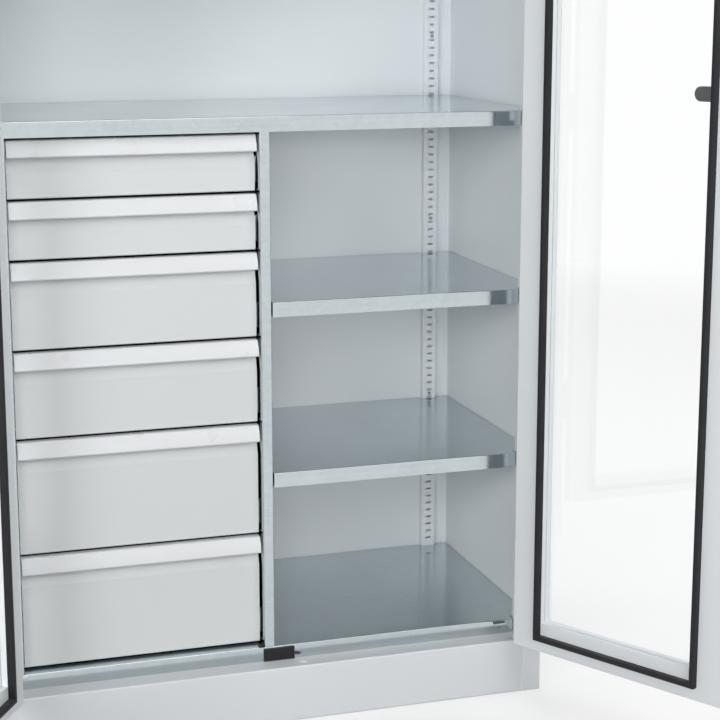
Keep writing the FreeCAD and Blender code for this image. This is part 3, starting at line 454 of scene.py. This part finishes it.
def stage_finish():
    """Pale floor with the cabinet's soft shadow, plain white further off, that throws back little light."""
    finish, tree, shader = new_finish("studio_floor")
    seen = seen_plainly(tree)
    pale = colours_mixed(tree, seen, shade(FLOOR_BOUNCE), shade(FLOOR_WHITE))
    feed(tree, shader.inputs["Base Color"], pale)
    shader.inputs["Roughness"].default_value = 0.9
    shader.inputs["Specular IOR Level"].default_value = 0.1
    where = add_node(tree, "TexCoord").outputs["Object"]
    away = add_node(tree, "VectorMath", {"operation": "LENGTH"})
    feed(tree, away.inputs[0], where)
    glossy = add_node(tree, "LightPath").outputs["Is Glossy Ray"]
    plain_from = between(tree, glossy, FLOOR_PLAIN_FROM, FLOOR_MIRROR_FROM)
    near_share = between(tree, glossy, FLOOR_SHARE, FLOOR_MIRROR_SHARE)
    far = between(tree, away.outputs["Value"], near_share, 1.0, FLOOR_NEAR, plain_from)
    white = add_node(tree, "Emission", Color=PLAIN_WHITE, Strength=1.0)
    either = add_node(tree, "MixShader")
    feed(tree, either.inputs[0], maths(tree, "MULTIPLY", far, seen))
    feed(tree, either.inputs[1], shader.outputs["BSDF"])
    feed(tree, either.inputs[2], white.outputs["Emission"])
    feed(tree, tree.nodes["Material Output"].inputs["Surface"], either.outputs["Shader"])
    return finish


def studio_floor():
    """A round floor just under the cabinet."""
    mesh = bpy.data.meshes.new("studio_floor")
    disc = bmesh.new()
    bmesh.ops.create_circle(disc, cap_ends=True, segments=FLOOR_SEGMENTS, radius=FLOOR_RADIUS)
    disc.to_mesh(mesh)
    disc.free()
    floor = bpy.data.objects.new("studio_floor", mesh)
    floor.location = (0, 0, cad_low.z - FLOOR_DROP)
    mesh.materials.append(stage_finish())
    bpy.context.scene.collection.objects.link(floor)


def studio_surround():
    """White all round for the camera, mirrors and glass, and hardly any light from it."""
    world = bpy.data.worlds.new("studio_surround")
    world.use_nodes = True
    tree = world.node_tree
    ground = tree.nodes["Background"]
    ground.inputs["Color"].default_value = PLAIN_WHITE
    feed(tree, ground.inputs["Strength"], between(tree, seen_plainly(tree), SURROUND_LIGHT, 1.0))
    bpy.context.scene.world = world


def softbox(name, place, aim, width, height, power, mirrored=False):
    """A soft lamp at place that looks at aim; shiny sheet shows it only if mirrored, and no pane shows it."""
    lamp = bpy.data.lights.new(name, "AREA")
    lamp.shape = "RECTANGLE"
    lamp.size = width
    lamp.size_y = height
    lamp.energy = power
    stand = bpy.data.objects.new(name, lamp)
    stand.location = place
    stand.visible_camera = False
    stand.visible_glossy = mirrored
    stand.visible_transmission = False
    way = [b - a for a, b in zip(place, aim)]
    flat = math.hypot(way[0], way[1])
    stand.rotation_euler = (math.atan2(flat, -way[2]), 0.0, math.atan2(-way[0], way[1]))
    bpy.context.scene.collection.objects.link(stand)


def photo_camera():
    """The camera of the photograph, with a small shift of its picture."""
    data = bpy.data.cameras.new("photo_camera")
    data.sensor_width = CAMERA_SENSOR
    data.lens = CAMERA_LENS
    data.shift_y = CAMERA_SHIFT
    camera = bpy.data.objects.new("photo_camera", data)
    camera.location = CAMERA_PLACE
    camera.rotation_euler = (math.radians(90 - CAMERA_DIP), 0.0, math.radians(-CAMERA_YAW))
    bpy.context.scene.collection.objects.link(camera)
    bpy.context.scene.camera = camera


studio_floor()
studio_surround()
softbox("far_softbox", (-0.4, -7.0, 1.4), (0.0, 0.0, 1.0), 4.5, 1.6, 140.0)
softbox("near_softbox", (-0.6, -2.4, 1.4), (0.1, 0.0, 1.0), 1.0, 0.5, 11.0)
softbox("left_softbox", (-5.0, -5.0, 2.0), (0.1, 0.0, 1.0), 2.6, 2.6, 178.0, True)
softbox("right_softbox", (1.7, -3.4, 2.8), (-0.1, 0.0, 1.0), 1.4, 1.4, 50.0)
softbox("over_softbox", (0.1, -2.2, 4.4), (0.1, -0.2, 0.6), 2.0, 1.2, 20.0, True)
softbox("rear_softbox", (0.0, 3.6, 2.2), (0.0, 0.0, 1.0), 2.6, 2.0, 82.0)
softbox("left_side_softbox", (-3.6, 1.4, 1.9), (0.0, 0.0, 1.0), 1.8, 1.8, 56.0)
softbox("right_side_softbox", (3.8, 0.6, 1.9), (0.0, 0.0, 1.0), 1.8, 1.8, 60.0)
softbox("roof_softbox", (0.0, 0.7, 4.5), (0.0, 0.1, 1.9), 2.0, 1.6, 40.0)
photo_camera()
bpy.context.scene.view_settings.view_transform = "Standard"
